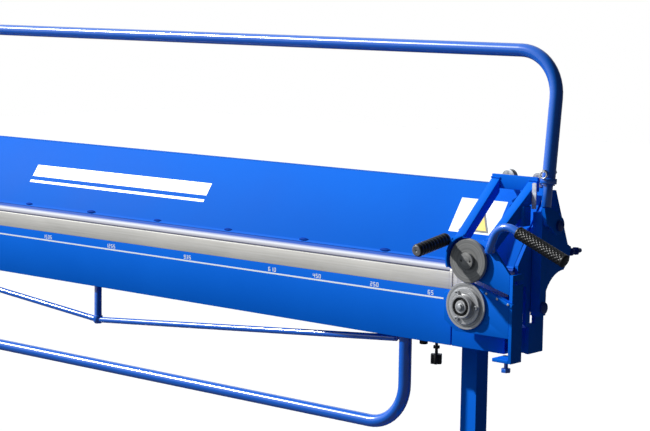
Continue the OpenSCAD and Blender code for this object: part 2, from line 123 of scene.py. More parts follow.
studio = {
    "seenStrength": 1.0,
    "air": (0.86, 0.93, 1.0, 1),
    "airLeft": 0.70,      # sky brightness on the machine's left, and on its shaded right
    "airRight": 0.03,
    "fadeFrom": -0.7,     # where the sky fades between the two, from left -1 to right 1
    "fadeTo": 0.25,
    "sunStrength": 4.0,
    "sunTilt": (55.2, 0, -58.5),
    "sunSpread": 2,
    "floorHalf": 14,
    "floorSeen": (0.96, 0.96, 0.96, 1),
    "floorBounce": (0.10, 0.11, 0.13, 1),
    "floorGlow": 0.12,
}

# the room looks white to the camera; as light it is brighter on the left than on the right
world = bpy.data.worlds.new("paleRoom")
world.use_nodes = True
room = world.node_tree
air = room.nodes["Background"]
air.inputs["Color"].default_value = studio["air"]
way = room.nodes.new("ShaderNodeTexCoord")
parts = room.nodes.new("ShaderNodeSeparateXYZ")
fade = room.nodes.new("ShaderNodeMapRange")
for label, value in {"From Min": studio["fadeFrom"], "From Max": studio["fadeTo"],
                     "To Min": studio["airLeft"], "To Max": studio["airRight"]}.items():
    fade.inputs[label].default_value = value
room.links.new(way.outputs["Generated"], parts.inputs[0])
room.links.new(parts.outputs["X"], fade.inputs["Value"])
room.links.new(fade.outputs[0], air.inputs["Strength"])
backdrop = room.nodes.new("ShaderNodeBackground")
backdrop.inputs["Color"].default_value = (1, 1, 1, 1)
backdrop.inputs["Strength"].default_value = studio["seenStrength"]
rays = room.nodes.new("ShaderNodeLightPath")
either = room.nodes.new("ShaderNodeMixShader")
room.links.new(rays.outputs["Is Camera Ray"], either.inputs[0])
room.links.new(air.outputs[0], either.inputs[1])
room.links.new(backdrop.outputs[0], either.inputs[2])
room.links.new(either.outputs[0], room.nodes["World Output"].inputs["Surface"])
scene.world = world
scene.view_settings.view_transform = "Standard"

sun = bpy.data.lights.new("keyLight", "SUN")
sun.energy = studio["sunStrength"]
sun.angle = radians(studio["sunSpread"])
sunLamp = bpy.data.objects.new("keyLight", sun)
sunLamp.rotation_euler = [radians(a) for a in studio["sunTilt"]]
scene.collection.objects.link(sunLamp)


# shader maths

class Wire:
    # one output socket, so that sums on it read as sums
    def __init__(self, finish, socket):
        self.finish = finish
        self.socket = socket

    def maths(self, kind, other, flipped=False):
        first, second = (other, self) if flipped else (self, other)
        return self.finish.node("ShaderNodeMath", {"operation": kind}, {0: first, 1: second})

    def __add__(self, other):
        return self.maths("ADD", other)

    def __sub__(self, other):
        return self.maths("SUBTRACT", other)

    def __mul__(self, other):
        return self.maths("MULTIPLY", other)

    def __radd__(self, other):
        return self.maths("ADD", other, True)

    def __rsub__(self, other):
        return self.maths("SUBTRACT", other, True)

    def __rmul__(self, other):
        return self.maths("MULTIPLY", other, True)

    def above(self, edge, soft):
        # 0 below edge, 1 from edge + soft up
        sockets = {"Value": self, "From Min": edge, "From Max": edge + soft}
        return self.finish.node("ShaderNodeMapRange", {}, sockets)


class Finish:
    # one material: a Principled shader and whatever feeds it
    def __init__(self, name, **shader):
        self.material = bpy.data.materials.new(name)
        self.material.use_nodes = True
        self.tree = self.material.node_tree
        self.tree.nodes.clear()
        self.shader = self.tree.nodes.new("ShaderNodeBsdfPrincipled")
        self.surface = self.tree.nodes.new("ShaderNodeOutputMaterial")
        self.tree.links.new(self.shader.outputs[0], self.surface.inputs[0])
        self.feed(shader)

    def plug(self, socket, value):
        if isinstance(value, Wire):
            self.tree.links.new(value.socket, socket)
        else:
            socket.default_value = value

    def feed(self, sockets):
        for label, value in sockets.items():
            self.plug(self.shader.inputs[label.replace("_", " ")], value)

    def node(self, kind, settings, sockets, out=0):
        made = self.tree.nodes.new(kind)
        for key, value in settings.items():
            setattr(made, key, value)
        for key, value in sockets.items():
            self.plug(made.inputs[key], value)
        return Wire(self, made.outputs[out])

    def here(self):
        return self.node("ShaderNodeTexCoord", {}, {}, "Object")

    def stretched(self, scale):
        return self.node("ShaderNodeMapping", {}, {"Vector": self.here(), "Scale": scale})

    def noise(self, scale, detail=3.0, stretch=(1, 1, 1), rough=0.55):
        sockets = {"Vector": self.stretched(stretch), "Scale": scale, "Detail": detail,
                   "Roughness": rough}
        return self.node("ShaderNodeTexNoise", {}, sockets)

    def height(self):
        # metres above the floor
        return self.node("ShaderNodeSeparateXYZ", {}, {"Vector": self.here()}, "Z")

    def blend(self, factor, first, second):
        mixed = {0: factor, 6: first, 7: second}
        return self.node("ShaderNodeMix", {"data_type": "RGBA"}, mixed, 2)

    def bump(self, height, strength, distance):
        sockets = {"Height": height, "Strength": strength, "Distance": distance}
        return self.node("ShaderNodeBump", {}, sockets)

    def radius(self, centre):
        # distance from an axis along Y through centre
        offset = self.node("ShaderNodeVectorMath", {"operation": "SUBTRACT"},
                           {0: self.here(), 1: centre})
        flat = self.node("ShaderNodeVectorMath", {"operation": "MULTIPLY"}, {0: offset, 1: (1, 0, 1)})
        return self.node("ShaderNodeVectorMath", {"operation": "LENGTH"}, {0: flat}, "Value")


def tone(red, green, blue):
    return (red, green, blue, 1)


def glossPaint(name, look):
    # sprayed enamel: uneven film, orange peel, small dull scuffs and a little dust
    paint = Finish(name, Coat_Weight=look["coat"], Coat_Roughness=look["coatRough"],
                   Specular_IOR_Level=look["gloss"])
    film = paint.noise(look["filmScale"], 4).above(0.35, 0.3)
    dust = paint.noise(look["dustScale"], 6, rough=0.7).above(0.62, 0.2)
    scuff = paint.noise(look["scuffScale"], 5, (1, 1, 2.5), 0.75).above(0.70, 0.04)
    colour = paint.blend(film, look["deep"], look["light"])
    colour = paint.blend(dust * look["dust"], colour, look["dustTone"])
    colour = paint.blend(scuff * look["scuff"], colour, look["scuffTone"])
    peel = paint.noise(look["peelScale"], 2)
    paint.feed({
        "Base Color": colour,
        "Roughness": look["rough"] + film * 0.05 + scuff * 0.25 + dust * 0.12,
        "Normal": paint.bump(peel, look["peel"], 0.0006),
    })
    return paint.material


paintLook = {
    "light": tone(0.002, 0.160, 0.820),
    "deep": tone(0.001, 0.145, 0.770),
    "dustTone": tone(0.015, 0.20, 0.84),
    "dust": 0.22,
    "dustScale": 60,
    "scuffTone": tone(0.003, 0.045, 0.34),
    "scuff": 0.35,
    "scuffScale": 55,
    "filmScale": 2.2,     # the higher a scale, the finer its patches
    "peel": 0.10,
    "peelScale": 420,
    "rough": 0.55,
    "coat": 0.0,
    "coatRough": 0.12,
    "gloss": 0.04,
}
bluePaint = glossPaint("bluePaint", paintLook)
tubePaint = glossPaint("tubePaint", {**paintLook, "rough": 0.20, "coat": 1.0, "gloss": 0.9, "peel": 0.05,
                                     "scuff": 0.2})
standPaint = glossPaint("standPaint", {**paintLook, "dust": 0.30, "dustScale": 5, "scuff": 0.6})
seamPaint = glossPaint("seamPaint", {**paintLook, "light": tone(0.001, 0.06, 0.45),
                                     "deep": tone(0.001, 0.05, 0.38)})
boltPaint = glossPaint("boltPaint", {**paintLook, "light": tone(0.004, 0.055, 0.36), "rough": 0.28,
                                     "deep": tone(0.003, 0.038, 0.27), "coat": 0.5})


def drawnSteel(name, look):
    # bar stock: fine lines along X, stains and small dark nicks
    steel = Finish(name, Metallic=look["metal"])
    lines = steel.noise(look["lines"], 3, (0.012, 1, 1), 0.6)
    fine = steel.noise(look["lines"] * 3, 2, (0.006, 1, 1), 0.5)
    stain = steel.noise(look["stains"], 5, (0.35, 1, 1), 0.65)
    nick = steel.noise(look["nicks"], 3, (0.25, 1, 1), 0.8).above(0.69, 0.05)
    colour = steel.blend(stain.above(0.3, 0.4), look["dark"], look["light"])
    colour = steel.blend(lines.above(0.35, 0.35) * 0.45, colour, look["bright"])
    colour = steel.blend(nick * 0.6, colour, look["dark"])
    steel.feed({
        "Base Color": colour,
        "Roughness": look["rough"] + stain * 0.16 + fine * 0.12,
        "Normal": steel.bump(lines * 0.6 + fine * 0.4, look["relief"], 0.0004),
    })
    return steel.material


barSteel = drawnSteel("barSteel", {
    "light": tone(0.80, 0.77, 0.71), "dark": tone(0.62, 0.60, 0.55), "bright": tone(0.95, 0.93, 0.89),
    "metal": 0.25, "lines": 260, "stains": 7, "nicks": 160, "rough": 0.42, "relief": 0.25,
})


def noseBar(name, look):
    # bright rounded nose: a painted reflection of the blue panel at the top, a painted white glint, then
    # grey down to painted shade at the gap above the bar
    steel = Finish(name, Specular_IOR_Level=look["gloss"])
    lines = steel.noise(look["lines"], 3, (0.012, 1, 1), 0.6)
    height = steel.height()
    # painted reflection: the blue of the panel above, painted on the top of the nose
    panelReflection = height.above(foldHeight + look["panelReflectionFrom"], look["panelReflectionSoft"])
    # painted highlight: the white glint band across the nose
    glint = height.above(foldHeight + look["glintFrom"], look["glintSoft"])
    # painted shade: the dark line along the foot of the nose, at the gap to the bar
    edge = height.above(foldHeight + look["gapShadeFrom"], look["gapShadeSoft"])
    colour = steel.blend(glint, look["grey"], look["white"])
    colour = steel.blend(lines * 0.35, colour, look["grey"])
    colour = steel.blend(edge, look["dark"], colour)
    colour = steel.blend(panelReflection, colour, look["blue"])
    steel.feed({
        "Base Color": colour,
        "Roughness": look["rough"] + lines * 0.15,
        "Normal": steel.bump(lines, 0.15, 0.0004),
    })
    return steel.material


noseSteel = noseBar("noseSteel", {
    # blue is the panel's painted reflection, white the painted glint, dark the painted shade in the gap
    "grey": tone(0.40, 0.40, 0.46), "white": tone(0.90, 0.93, 1.0), "dark": tone(0.03, 0.04, 0.10),
    "blue": tone(0.006, 0.10, 0.56), "lines": 180, "rough": 0.45, "gloss": 0.08,
    "panelReflectionFrom": 0.0120, "panelReflectionSoft": 0.006, "glintFrom": 0.006, "glintSoft": 0.005,
    "gapShadeFrom": 0.0016, "gapShadeSoft": 0.0030,
})


def turnedSteel(name, centre, look):
    # faced on a lathe: fine rings round the axis, with a slightly uneven film of oil
    steel = Finish(name, Metallic=look["metal"])
    radius = steel.radius(centre)
    rings = steel.node("ShaderNodeTexNoise", {"noise_dimensions": "1D"},
                       {"W": radius * look["rings"], "Scale": 1.0, "Detail": 2.0})
    wide = steel.node("ShaderNodeTexNoise", {"noise_dimensions": "1D"},
                      {"W": radius * look["rings"] * 0.12, "Scale": 1.0, "Detail": 3.0})
    film = steel.noise(60, 4)
    colour = steel.blend(wide.above(0.3, 0.4), look["dark"], look["light"])
    colour = steel.blend(film.above(0.55, 0.2) * 0.35, colour, look["dark"])
    steel.feed({
        "Base Color": colour,
        "Roughness": look["rough"] + wide * 0.12 + film * 0.08,
        "Normal": steel.bump(rings, look["relief"], 0.0003),
    })
    return steel.material


facedSteel = turnedSteel("facedSteel", upperAxis, {
    "light": tone(0.34, 0.34, 0.33), "dark": tone(0.20, 0.20, 0.195),
    "metal": 0.2, "rings": 1500, "rough": 0.36, "relief": 0.35,
})
bladeSteel = turnedSteel("bladeSteel", lowerAxis, {
    "light": tone(0.95, 0.95, 0.95), "dark": tone(0.40, 0.40, 0.40),
    "metal": 0.55, "rings": 900, "rough": 0.20, "relief": 0.45,
})


def platedSteel(name, look):
    # zinc plate: small clouded patches and a dull bloom
    plate = Finish(name, Metallic=look["metal"])
    patch = plate.node("ShaderNodeTexVoronoi", {}, {"Vector": plate.here(), "Scale": look["patches"]})
    cloud = plate.noise(look["clouds"], 4)
    plate.feed({
        "Base Color": plate.blend(cloud.above(0.35, 0.3), look["dark"], look["light"]),
        "Roughness": look["rough"] + patch * 0.25 + cloud * 0.10,
        "Normal": plate.bump(cloud, 0.10, 0.0004),
    })
    return plate.material


zincPlate = platedSteel("zincPlate", {
    "light": tone(0.70, 0.71, 0.72), "dark": tone(0.48, 0.49, 0.50), "patches": 420, "clouds": 90,
    "rough": 0.26, "metal": 0.7,
})
# painted light: a lighter, bluer copy of the zinc, so that the strip beside the outer arm reads brighter
# than the other zinc
paintedLightZinc = platedSteel("paintedLightZinc", {
    "light": tone(0.85, 0.88, 0.95), "dark": tone(0.45, 0.48, 0.58), "patches": 420, "clouds": 90,
    "rough": 0.5, "metal": 0.7,
})
dullSteel = platedSteel("dullSteel", {
    "light": tone(0.34, 0.34, 0.35), "dark": tone(0.20, 0.20, 0.21), "patches": 300, "clouds": 90,
    "rough": 0.34, "metal": 0.7,
})


def mouldedBlack(name, look):
    # rubber or plastic: faint grain, greyed where hands polish it
    black = Finish(name, Specular_IOR_Level=look["gloss"])
    grain = black.noise(look["grain"], 3)
    wear = black.noise(look["wear"], 4).above(0.5, 0.25)
    black.feed({
        "Base Color": black.blend(wear * 0.6, look["dark"], look["worn"]),
        "Roughness": look["rough"] - wear * 0.14,
        "Normal": black.bump(grain, look["relief"], 0.0005),
    })
    return black.material


gripRubber = mouldedBlack("gripRubber", {
    "dark": tone(0.005, 0.005, 0.005), "worn": tone(0.016, 0.016, 0.016),
    "grain": 900, "wear": 35, "rough": 0.40, "relief": 0.25, "gloss": 0.5,
})
knobPlastic = mouldedBlack("knobPlastic", {
    "dark": tone(0.008, 0.008, 0.009), "worn": tone(0.020, 0.020, 0.022),
    "grain": 500, "wear": 35, "rough": 0.36, "relief": 0.12, "gloss": 0.5,
})


# glow is emission: painted light that brightens every sticker and print
filmLook = {"glow": 0.12, "soilScale": 28, "soil": 0.5, "rough": 0.30, "grain": 220, "relief": 0.05}


def printedFilm(name, clean, dirty):
    # sticker or print: smooth, lightly soiled, with a faint painted glow from emission so that it shines
    # without a lamp
    film = Finish(name, Emission_Color=clean, Emission_Strength=filmLook["glow"])
    soil = film.noise(filmLook["soilScale"], 5, rough=0.7).above(0.52, 0.3)
    film.feed({
        "Base Color": film.blend(soil * filmLook["soil"], clean, dirty),
        "Roughness": filmLook["rough"] + soil * 0.25,
        "Normal": film.bump(film.noise(filmLook["grain"], 2), filmLook["relief"], 0.0004),
    })
    return film.material


whiteFilm = printedFilm("whiteFilm", tone(0.86, 0.93, 0.97), tone(0.74, 0.80, 0.85))
yellowFilm = printedFilm("yellowFilm", tone(0.86, 0.60, 0.01), tone(0.62, 0.43, 0.02))
blackFilm = printedFilm("blackFilm", tone(0.012, 0.012, 0.012), tone(0.04, 0.04, 0.04))


def paleFloor():
    # pale to the camera, darker as a bounce light so that the shaded side stays deep
    pale = Finish("floorFilm", Roughness=0.9, Specular_IOR_Level=0.0, Base_Color=studio["floorSeen"],
                  Emission_Color=studio["floorSeen"], Emission_Strength=studio["floorGlow"])
    dim = pale.tree.nodes.new("ShaderNodeBsdfDiffuse")
    dim.inputs["Color"].default_value = studio["floorBounce"]
    seen = pale.node("ShaderNodeLightPath", {}, {}, "Is Camera Ray")
    chosen = pale.node("ShaderNodeMixShader", {}, {0: seen})
    mixer = chosen.socket.node
    pale.tree.links.new(dim.outputs[0], mixer.inputs[1])
    pale.tree.links.new(pale.shader.outputs[0], mixer.inputs[2])
    pale.tree.links.new(mixer.outputs[0], pale.surface.inputs[0])
    return pale.material


floorFilm = paleFloor()
print("materials made")


# mesh helpers

def addPiece(name, points, faces, material, body, slot, smooth=30, replaced=()):
    finishPiece(bareObject(name, points, faces), material, body, slot, smooth, replaced)


def bareObject(name, points, faces):
    mesh = bpy.data.meshes.new(name)
    mesh.from_pydata([tuple(p) for p in points], [], faces)
    made = bpy.data.objects.new(name, mesh)
    scene.collection.objects.link(made)
    return made


def finishPiece(piece, material, body, slot, smooth=30, replaced=(), reshade=True):
    piece.data.materials.clear()
    piece.data.materials.append(material)
    if reshade:
        for face in piece.data.polygons:
            face.use_smooth = smooth > 0
    if smooth > 0:
        piece.data.set_sharp_from_angle(angle=radians(smooth))
    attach(piece, body)
    if replaced:
        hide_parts(*replaced)


def takeMesh(carrier, name):
    # the carrier's modified mesh as a plain new object; the carrier goes
    graph = bpy.context.evaluated_depsgraph_get()
    mesh = bpy.data.meshes.new_from_object(carrier.evaluated_get(graph))
    mesh.name = name
    piece = bpy.data.objects.new(name, mesh)
    scene.collection.objects.link(piece)
    bpy.data.objects.remove(carrier)
    return piece


def joined(shapes):
    points, faces = [], []
    for somePoints, someFaces in shapes:
        shift = len(points)
        points += somePoints
        faces += [tuple(i + shift for i in face) for face in someFaces]
    return points, faces


def axisFrame(direction):
    # two unit vectors square to direction
    along = Vector(direction).normalized()
    side = Vector((0, 0, 1)) if abs(along.z) < 0.9 else Vector((1, 0, 0))
    sideways = along.cross(side).normalized()
    return along, sideways, along.cross(sideways)


def ringPoints(origin, direction, distance, steps, radiusAt):
    along, sideways, up = axisFrame(direction)
    angles = [2 * pi * i / steps for i in range(steps)]
    return [Vector(origin) + along * distance + (sideways * cos(a) + up * sin(a)) * radiusAt(a)
            for a in angles]


def skinFaces(rings, steps, closed=False):
    # quads between rings; closed joins the last ring to the first, otherwise both ends get a face
    faces = []
    for ring in range(rings if closed else rings - 1):
        a, b = ring * steps, (ring + 1) % rings * steps
        faces += [(a + i, a + (i + 1) % steps, b + (i + 1) % steps, b + i) for i in range(steps)]
    if not closed:
        faces.append(tuple(reversed(range(steps))))
        faces.append(tuple((rings - 1) * steps + i for i in range(steps)))
    return faces


def flatsRadius(reach, flats):
    # radius of a regular polygon at an angle, from its corner radius
    return lambda angle: reach * cos(pi / flats) / cos(angle % (2 * pi / flats) - pi / flats)


def turnedShape(profile, origin, direction, steps):
    # profile entries are (distance along, radius) or (distance along, corner radius, flats)
    points = []
    for distance, radius, *flats in profile:
        radiusAt = flatsRadius(radius, flats[0]) if flats else lambda angle, radius=radius: radius
        points += ringPoints(origin, direction, distance, steps, radiusAt)
    return points, skinFaces(len(profile), steps)


def ringShape(profile, origin, direction, steps):
    # a closed outline of (distance along, radius) carried round the axis
    points = []
    for distance, radius in profile:
        points += ringPoints(origin, direction, distance, steps, lambda angle: radius)
    return points, skinFaces(len(profile), steps, True)


def carvedShape(distances, radiusOf, origin, direction, steps):
    # a bar whose radius depends on the distance along it and on the angle
    points = []
    for distance in distances:
        points += ringPoints(origin, direction, distance, steps, lambda angle: radiusOf(distance, angle))
    return points, skinFaces(len(distances), steps)


def bulge(half, radius, count):
    # profile of a bead, pointed at both ends
    return [(-half * cos(pi * i / count), max(0.0001, radius * sin(pi * i / count)))
            for i in range(count + 1)]


def flatShape(corners, origin, sideways, up, lift, thick):
    # plate with the given outline, anticlockwise seen from outside
    outwards = sideways.cross(up)
    lower = [origin + sideways * x + up * z + outwards * lift for x, z in corners]
    count = len(corners)
    points = lower + [point + outwards * thick for point in lower]
    faces = [tuple(reversed(range(count))), tuple(range(count, 2 * count))]
    faces += [(i, (i + 1) % count, (i + 1) % count + count, i + count) for i in range(count)]
    return points, faces


# repeating things with Geometry Nodes

def startTree(name, inputs):
    # a new tree with the named inputs; gives back its node adder and linker as well
    tree = bpy.data.node_groups.new(name, "GeometryNodeTree")
    for label, kind in inputs.items():
        tree.interface.new_socket(label, in_out="INPUT", socket_type="NodeSocket" + kind)
    tree.interface.new_socket("Geometry", in_out="OUTPUT", socket_type="NodeSocketGeometry")
    return tree, tree.nodes.new, tree.links.new


def endTree(add, link, given, copies):
    # copies become real mesh with the given finish
    real = add("GeometryNodeRealizeInstances")
    painted = add("GeometryNodeSetMaterial")
    result = add("NodeGroupOutput")
    link(copies.outputs["Instances"], real.inputs["Geometry"])
    link(real.outputs["Geometry"], painted.inputs["Geometry"])
    link(given.outputs["Finish"], painted.inputs["Material"])
    link(painted.outputs["Geometry"], result.inputs["Geometry"])


def rowTree():
    # copies the incoming shape along a line, each copy a little different in size
    tree, add, link = startTree("rowOfCopies", {
        "Shape": "Geometry", "First": "Vector", "Step": "Vector", "Count": "Int",
        "Size Change": "Float", "Finish": "Material",
    })
    given = add("NodeGroupInput")
    line = add("GeometryNodeMeshLine")
    line.mode = "OFFSET"
    smallest = add("ShaderNodeMath")
    smallest.operation = "SUBTRACT"
    smallest.inputs[0].default_value = 1
    spread = add("FunctionNodeRandomValue")
    spread.data_type = "FLOAT"
    spread.inputs["Seed"].default_value = 7
    spread.inputs[3].default_value = 1
    copies = add("GeometryNodeInstanceOnPoints")
    link(given.outputs["Count"], line.inputs["Count"])
    link(given.outputs["First"], line.inputs["Start Location"])
    link(given.outputs["Step"], line.inputs["Offset"])
    link(given.outputs["Size Change"], smallest.inputs[1])
    link(smallest.outputs[0], spread.inputs[2])
    link(line.outputs["Mesh"], copies.inputs["Points"])
    link(given.outputs["Shape"], copies.inputs["Instance"])
    link(spread.outputs[1], copies.inputs["Scale"])
    endTree(add, link, given, copies)
    return tree


def placeTree():
    # copies a shape to every point of the piece that carries the modifier
    tree, add, link = startTree("copiesAtPlaces", {
        "Places": "Geometry", "Shape": "Object", "Finish": "Material",
    })
    given = add("NodeGroupInput")
    shape = add("GeometryNodeObjectInfo")
    copies = add("GeometryNodeInstanceOnPoints")
    link(given.outputs["Shape"], shape.inputs["Object"])
    link(given.outputs["Places"], copies.inputs["Points"])
    link(shape.outputs["Geometry"], copies.inputs["Instance"])
    endTree(add, link, given, copies)
    return tree


copyRow = rowTree()
copyPlaces = placeTree()


def runTree(carrier, tree, values, name):
    # sets the inputs by identifier, takes the result as a plain mesh and drops the carrier
    modifier = carrier.modifiers.new(name, "NODES")
    modifier.node_group = tree
    for item in tree.interface.items_tree:
        if item.in_out == "INPUT" and item.name in values:
            modifier[item.identifier] = values[item.name]
    return takeMesh(carrier, name)


def rowPiece(name, shape, first, step, count, change, material, body, slot, smooth=30):
    carrier = bareObject(name + "Shape", *shape)
    values = {"First": first, "Step": step, "Count": count, "Size Change": change, "Finish": material}
    finishPiece(runTree(carrier, copyRow, values, name), material, body, slot, smooth)


def placedPiece(name, shape, places, material, body, slot, smooth=30, replaced=()):
    pattern = bareObject(name + "Pattern", *shape)
    carrier = bareObject(name + "Places", places, [])
    piece = runTree(carrier, copyPlaces, {"Shape": pattern, "Finish": material}, name)
    bpy.data.objects.remove(pattern)
    finishPiece(piece, material, body, slot, smooth, replaced)


# CAD nodes, each with the finish and the edge rounding it gets

finishOf = {
    bluePaint: {"cheeks": 1.2, "upper_panel": 2.5, "park_plates": 1.2, "apron_plate": 1.2, "bed_beam": 1,
                "lift_links": 1.5, "crank_levers": 1.2, "upper_plate": 1, "lower_plate": 1,
                "side_plate": 1, "foot_guide": 1, "guide_strip": 0.6, "disc_guard": 0.8,
                "carriage_arms": 2.5, "cross_plate": 1.5},
    tubePaint: {"lower_bail": 0, "bail_sockets": 1, "truss_strut": 1, "truss_rods": 0,
                "clamp_bail_tube": 0, "bail_collars": 1, "handle_tube": 0, "foot_bolt": 0.8,
                "bail_spigots": 0.8},
    boltPaint: {"tie_bolts": 1, "link_pins": 1.2, "bail_pivot_pins": 1, "crank_pins": 0},
    standPaint: {"legs": 2.5, "feet": 2, "stretcher": 2, "braces": 2, "base_beam": 2},
    noseSteel: {"clamp_nose": 0, "bed_blade": 0},
    barSteel: {"park_bars": 0.6, "bending_bar": 0.6, "hinge_brackets": 0.5, "apron_lugs": 0.5},
    facedSteel: {"upper_hub": 0.8},
    zincPlate: {"hinge_pins": 0, "lock_pins": 0, "strip_screws": 0.4, "upper_axle": 0.6,
                "lower_axle": 0.8, "roller_axles": 0.6, "roller_inner": 1, "roller_outer": 1},
    gripRubber: {"rubber_buffers": 1.2},
    knobPlastic: {"stop_screw_left": 1.2, "stop_screw_right": 1.2},
    whiteFilm: {"label_plate": 0},
}


def slotOf(node):
    subparts = frame["record"]["subparts"]
    return next(part["material_slot"] for part in subparts if part["node"] == node)


edges = {
    "merge": 1e-6,       # points closer than this become one
    "flat": 0.6,         # faces within this many degrees become one
    "sharp": 35,         # edges sharper than this get rounded
    "segments": 2,
}


def softEdges(node, width, material):
    # the same shape with its flat faces made whole and its sharp edges rounded by width
    source = frame["nodes"][node]
    work = bmesh.new()
    work.from_mesh(source.data)
    bmesh.ops.remove_doubles(work, verts=work.verts, dist=edges["merge"])
    bmesh.ops.dissolve_limit(work, angle_limit=radians(edges["flat"]), verts=work.verts,
                             edges=work.edges)
    mesh = bpy.data.meshes.new(node + "Whole")
    work.to_mesh(mesh)
    work.free()
    for face in mesh.polygons:
        face.use_smooth = True
    carrier = bpy.data.objects.new(node + "Whole", mesh)
    scene.collection.objects.link(carrier)
    rounding = carrier.modifiers.new("rounding", "BEVEL")
    rounding.width = width
    rounding.segments = edges["segments"]
    rounding.limit_method = "ANGLE"
    rounding.angle_limit = radians(edges["sharp"])
    rounding.harden_normals = True
    words = node.split("_")
    piece = takeMesh(carrier, words[0] + "".join(word.capitalize() for word in words[1:]))
    finishPiece(piece, material, body_of(source)[0], slotOf(node), 0, (node,), False)


for material, widths in finishOf.items():
    for node, width in widths.items():
        if width > 0:
            softEdges(node, width / 1000, material)
        else:
            for socket in frame["nodes"][node].material_slots:
                socket.material = material
print("CAD nodes finished")


# print and welds on the upper beam

panel = {
    "foot": Vector((0, 0.024, foldHeight + 0.024)),
    "rise": Vector((0, 0.133, 0.191)).normalized(),
}
across = Vector((1, 0, 0))

upwards = Vector((0, 0, 1))


def oblong(left, foot, right, top):
    # corners of an upright rectangle, for flatShape
    return [(left, foot), (right, foot), (right, top), (left, top)]


bands = {
    "from": -0.362, "to": 0.395,
    "heights": [(0.084, 0.092), (0.106, 0.146)],
    "thick": 0.0003,
}
bandShapes = [flatShape(oblong(bands["from"], lowEdge, bands["to"], highEdge),
                        panel["foot"], across, panel["rise"], 0, bands["thick"])
              for lowEdge, highEdge in bands["heights"]]
addPiece("plainBands", *joined(bandShapes), whiteFilm, "frame", "label_white", 0)

sign = {"middle": 1.350, "foot": 0.089, "side": 0.096, "border": 0.0055, "thick": 0.0004,
        "borderLift": 0.0004, "faceLift": 0.0008}


def triangleShape(inset, lift):
    height = sign["side"] * sqrt(3) / 2
    half = sign["side"] / 2 - inset * sqrt(3)
    foot = sign["foot"] + inset
    corners = [(sign["middle"] - half, foot), (sign["middle"] + half, foot),
               (sign["middle"], sign["foot"] + height - 2 * inset)]
    return flatShape(corners, panel["foot"], across, panel["rise"], lift, sign["thick"])


addPiece("signBorder", *triangleShape(0, sign["borderLift"]), blackFilm, "frame", "label_white", 0)
addPiece("signFace", *triangleShape(sign["border"], sign["faceLift"]), yellowFilm, "frame",
         "label_white", 0)

lip = {"half": 1.512, "height": 0.006, "thick": 0.0016}
lipShape = flatShape(oblong(-lip["half"], 0, lip["half"], lip["height"]),
                     panel["foot"], across, panel["rise"], 0, lip["thick"])
addPiece("panelLip", *lipShape, bluePaint, "frame", "blue_paint", 0)

stitch = {"last": 1.102, "step": 0.283, "count": 10, "half": 0.019, "radius": 0.0060, "up": 0.007,
          "change": 0.2}
stitchShape = turnedShape(bulge(stitch["half"], stitch["radius"], 9), (0, 0, 0), across, 14)
stitchFrom = panel["foot"] + panel["rise"] * stitch["up"] + across * stitch["last"]
rowPiece("stitchWelds", stitchShape, stitchFrom, across * -stitch["step"], stitch["count"],
         stitch["change"], seamPaint, "frame", "blue_paint")
print("upper beam dressed")


# numbers over the scale line

strokes = {
    # seven strokes of a digit: (x0, z0, x1, z1) in parts of its width and height
    "top": (0.1, 0.85, 0.9, 1.0), "middle": (0.1, 0.42, 0.9, 0.58), "bottom": (0.1, 0.0, 0.9, 0.15),
    "upLeft": (0.0, 0.5, 0.25, 0.95), "upRight": (0.75, 0.5, 1.0, 0.95),
    "downLeft": (0.0, 0.05, 0.25, 0.5), "downRight": (0.75, 0.05, 1.0, 0.5),
}
digitStrokes = {
    "0": "top bottom upLeft upRight downLeft downRight", "1": "upRight downRight",
    "2": "top upRight middle downLeft bottom", "3": "top upRight middle downRight bottom",
    "4": "upLeft middle upRight downRight", "5": "top upLeft middle downRight bottom",
    "6": "top upLeft middle downLeft downRight bottom", "7": "top upRight downRight",
    "8": "top middle bottom upLeft upRight downLeft downRight",
    "9": "top middle bottom upLeft upRight downRight",
}
numbers = {
    "height": 0.0115, "wide": 0.0075, "pitch": 0.0102, "over": 0.0035,
    "places": [1.277, 1.092, 0.893, 0.731, 0.405, 0.086, -0.195, -0.480, -0.765, -1.050, -1.277],
    "zeroAt": high("apron_plate").x, "roundTo": 5, "thick": 0.0003,
}
apronFront = Vector((0, 0, 0))
rule = {"half": high("scale_strip").x, "margin": 0.0008, "thick": 0.0004}
ruleFoot, ruleTop = low("scale_strip").z, high("scale_strip").z
ruleShape = flatShape(oblong(-rule["half"], ruleFoot - rule["margin"], rule["half"],
                             ruleTop + rule["margin"]),
                      apronFront, across, upwards, 0, rule["thick"])
addPiece("scaleLine", *ruleShape, whiteFilm, "apron", slotOf("scale_strip"), 0, ("scale_strip",))


def digitShapes(digit, left, foot):
    # the raised strokes of one digit
    shapes = []
    for stroke in digitStrokes[digit].split():
        x0, z0, x1, z1 = strokes[stroke]
        corners = oblong(left + x0 * numbers["wide"], foot + z0 * numbers["height"],
                         left + x1 * numbers["wide"], foot + z1 * numbers["height"])
        shapes.append(flatShape(corners, apronFront, across, upwards, 0, numbers["thick"]))
    return shapes


numberShapes = []
for place in numbers["places"]:
    millimetres = (numbers["zeroAt"] - place) * 1000
    digits = str(round(millimetres / numbers["roundTo"]) * numbers["roundTo"])
    start = place - len(digits) * numbers["pitch"] / 2
    for i, digit in enumerate(digits):
        numberShapes += digitShapes(digit, start + i * numbers["pitch"], ruleTop + numbers["over"])
addPiece("scaleNumbers", *joined(numberShapes), whiteFilm, "apron", "label_white", 0)
print("scale numbered")


# cutting discs

towardsFront = Vector((0, -1, 0))
upperOrigin = Vector((upperAxis.x, high("upper_blade").y, upperAxis.z))
# outlines run outwards from the origin: (distance towards the front, radius)
upperDisc = [(0, 0.0560), (0.0012, 0.0560), (0.0050, 0.0540), (0.0060, 0.0530), (0.0060, 0.0250),
             (0.0056, 0.0245), (0.0056, 0.0005)]
addPiece("upperDisc", *turnedShape(upperDisc, upperOrigin, towardsFront, 128), facedSteel,
         "upper_cutter", slotOf("upper_blade"), 25, ("upper_blade",))

